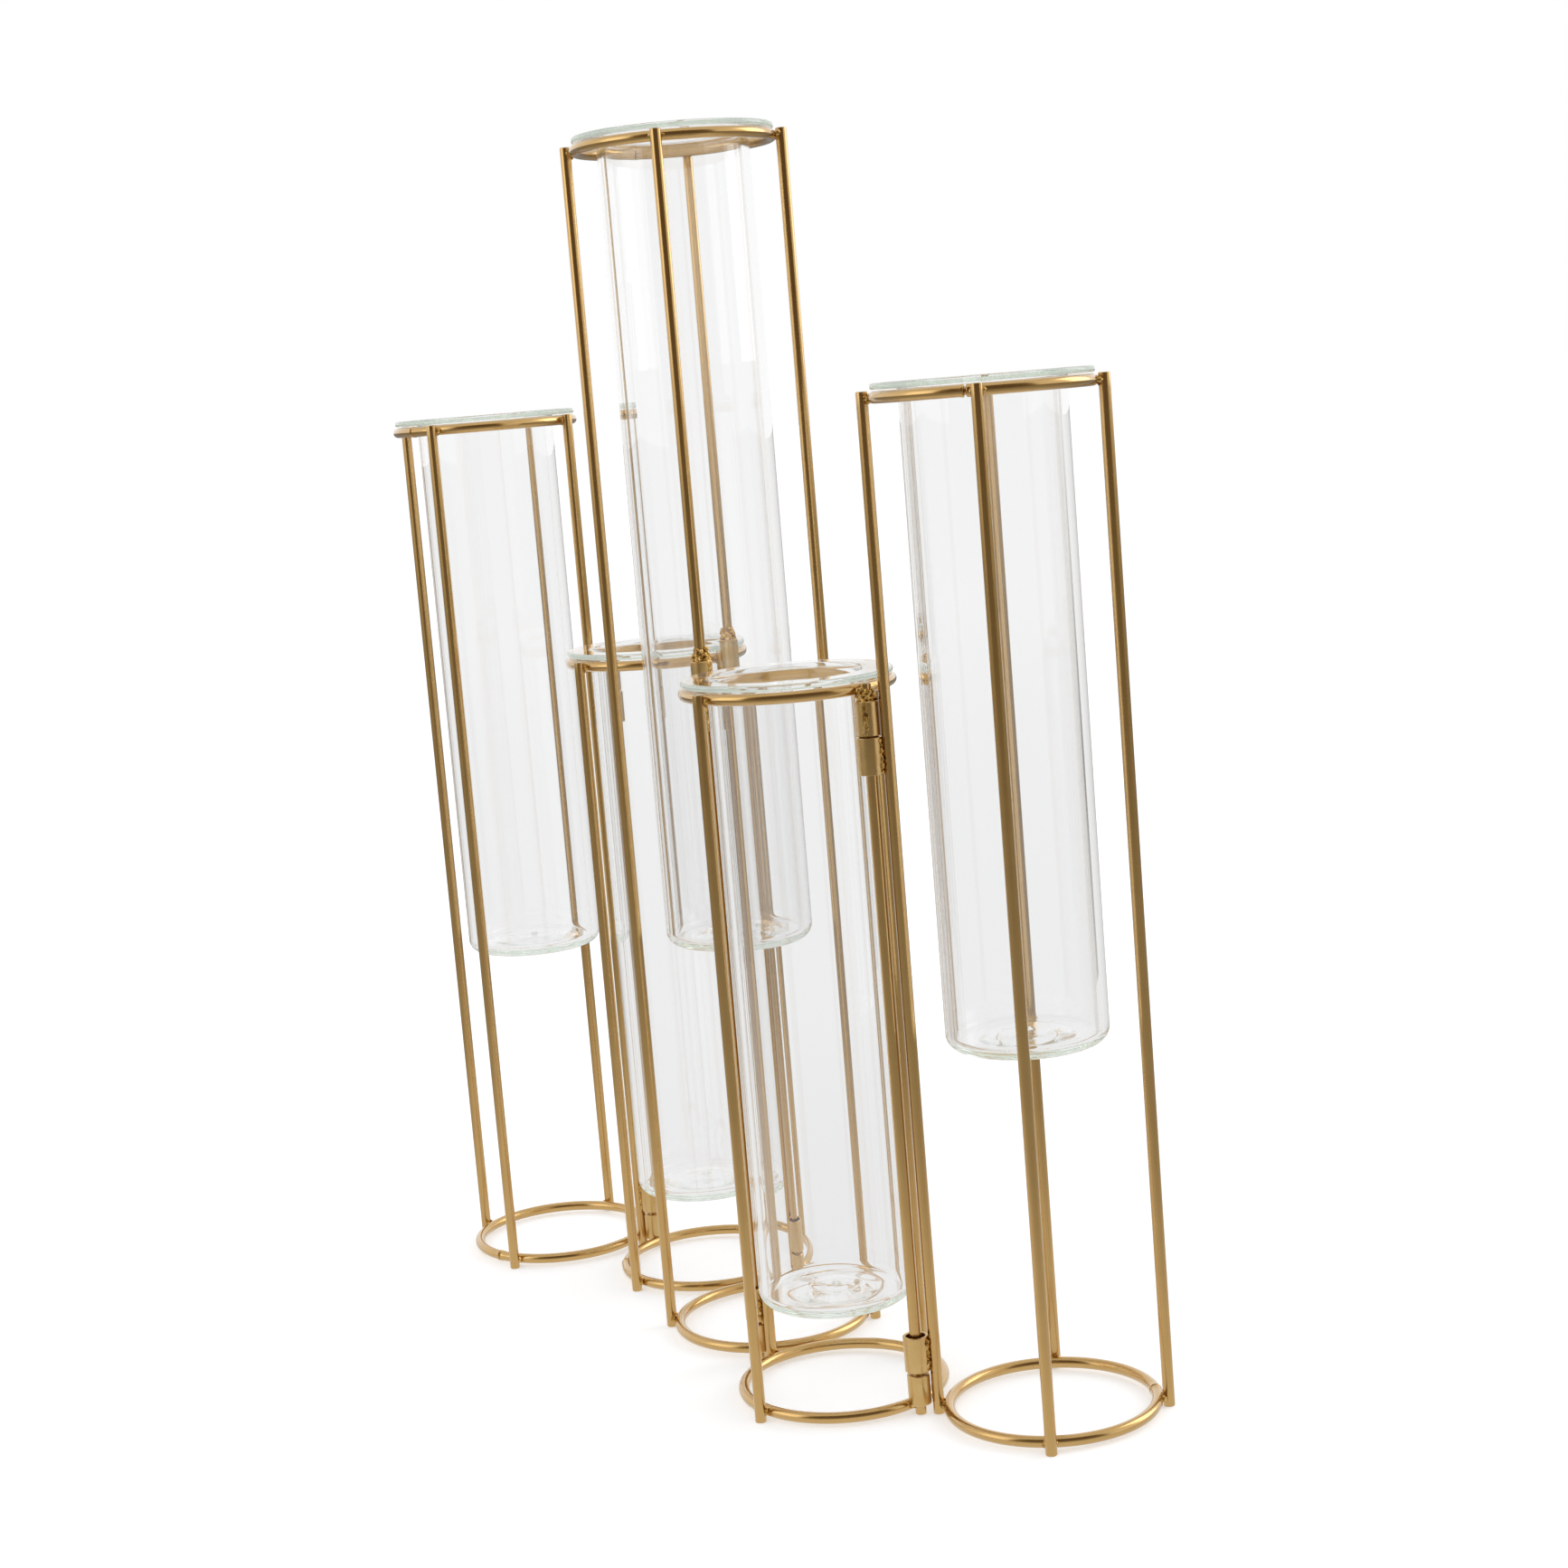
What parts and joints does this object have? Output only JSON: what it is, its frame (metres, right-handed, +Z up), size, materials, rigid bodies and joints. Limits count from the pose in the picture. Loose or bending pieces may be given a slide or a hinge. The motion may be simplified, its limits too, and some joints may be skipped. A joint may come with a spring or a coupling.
{
  "type": "test tube vase",
  "caption": "Folding chain of hinged gold wire frames at stepped heights, each holding a clear glass tube for flowers that lifts out by its flat rim.",
  "frame": {"origin": "middle of the object's footprint box, on the surface that its legs stand on", "axes": "+Z up, +X along the chain from the left end frame to the right end frame, +Y towards the back"},
  "size_m": [0.299, 0.1084, 0.357],
  "materials": {
    "gold_wire": "satin gold plating on steel wire",
    "gold_hinge": "satin gold plating on cut tube",
    "weld": "rough gold weld with a brown heat tint",
    "clear_glass": "clear polished glass"
  },
  "bodies": {
    "tall_frame": {"tall_bottom_ring": "gold_wire", "tall_top_ring": "gold_wire", "tall_leg_right": "gold_wire", "tall_leg_back": "gold_wire", "tall_leg_left": "gold_wire", "tall_leg_front": "gold_wire", "tall_collar_upper_left": "gold_hinge", "tall_collar_lower_left": "gold_hinge", "tall_collar_weld_left": "weld", "tall_collar_upper_right": "gold_hinge", "tall_collar_lower_right": "gold_hinge", "tall_collar_weld_right": "weld"},
    "left_short_frame": {"left_short_bottom_ring": "gold_wire", "left_short_top_ring": "gold_wire", "left_short_leg_right": "gold_wire", "left_short_leg_back": "gold_wire", "left_short_leg_left": "gold_wire", "left_short_leg_front": "gold_wire", "left_short_collar_upper_left": "gold_hinge", "left_short_collar_lower_left": "gold_hinge", "left_short_collar_weld_left": "weld", "left_short_sleeve_upper": "gold_hinge", "left_short_sleeve_lower": "gold_hinge", "left_short_sleeve_welds": "weld"},
    "left_end_frame": {"left_end_bottom_ring": "gold_wire", "left_end_top_ring": "gold_wire", "left_end_leg_right": "gold_wire", "left_end_leg_back": "gold_wire", "left_end_leg_left": "gold_wire", "left_end_leg_front": "gold_wire", "left_end_sleeve_upper": "gold_hinge", "left_end_sleeve_lower": "gold_hinge", "left_end_sleeve_welds": "weld"},
    "right_short_frame": {"right_short_bottom_ring": "gold_wire", "right_short_top_ring": "gold_wire", "right_short_leg_right": "gold_wire", "right_short_leg_back": "gold_wire", "right_short_leg_left": "gold_wire", "right_short_leg_front": "gold_wire", "right_short_sleeve_upper": "gold_hinge", "right_short_sleeve_lower": "gold_hinge", "right_short_sleeve_welds": "weld", "right_short_collar_upper_right": "gold_hinge", "right_short_collar_lower_right": "gold_hinge", "right_short_collar_weld_right": "weld"},
    "right_end_frame": {"right_end_bottom_ring": "gold_wire", "right_end_top_ring": "gold_wire", "right_end_leg_right": "gold_wire", "right_end_leg_back": "gold_wire", "right_end_leg_left": "gold_wire", "right_end_leg_front": "gold_wire", "right_end_sleeve_upper": "gold_hinge", "right_end_sleeve_lower": "gold_hinge", "right_end_sleeve_welds": "weld"},
    "tall_tube": {"tall_glass_tube": "clear_glass"},
    "left_short_tube": {"left_short_glass_tube": "clear_glass"},
    "left_end_tube": {"left_end_glass_tube": "clear_glass"},
    "right_short_tube": {"right_short_glass_tube": "clear_glass"},
    "right_end_tube": {"right_end_glass_tube": "clear_glass"}
  },
  "joints": [
    {"name": "left_short_fold", "type": "hinge", "parent": "tall_frame", "child": "left_short_frame", "pos_m": [-0.01849, 0.02185, 0], "axis": [0, 0, 1], "range_deg": [-99.7, 7.3]},
    {"name": "left_end_fold", "type": "hinge", "parent": "left_short_frame", "child": "left_end_frame", "pos_m": [-0.08628, 0.02066, 0], "axis": [0, 0, 1], "range_deg": [-77.1, 29.9]},
    {"name": "right_short_fold", "type": "hinge", "parent": "tall_frame", "child": "right_short_frame", "pos_m": [0.02577, -0.0227, 0], "axis": [0, 0, 1], "range_deg": [-101, 6]},
    {"name": "right_end_fold", "type": "hinge", "parent": "right_short_frame", "child": "right_end_frame", "pos_m": [0.09352, -0.01997, 0], "axis": [0, 0, 1], "range_deg": [-95.6, 11.4]},
    {"name": "tall_tube_lift", "type": "slide", "parent": "tall_frame", "child": "tall_tube", "axis": [0, 0, 1], "range_m": [0, 0.24]},
    {"name": "left_short_tube_lift", "type": "slide", "parent": "left_short_frame", "child": "left_short_tube", "axis": [0, 0, 1], "range_m": [0, 0.181]},
    {"name": "left_end_tube_lift", "type": "slide", "parent": "left_end_frame", "child": "left_end_tube", "axis": [0, 0, 1], "range_m": [0, 0.181]},
    {"name": "right_short_tube_lift", "type": "slide", "parent": "right_short_frame", "child": "right_short_tube", "axis": [0, 0, 1], "range_m": [0, 0.181]},
    {"name": "right_end_tube_lift", "type": "slide", "parent": "right_end_frame", "child": "right_end_tube", "axis": [0, 0, 1], "range_m": [0, 0.181]}
  ]
}
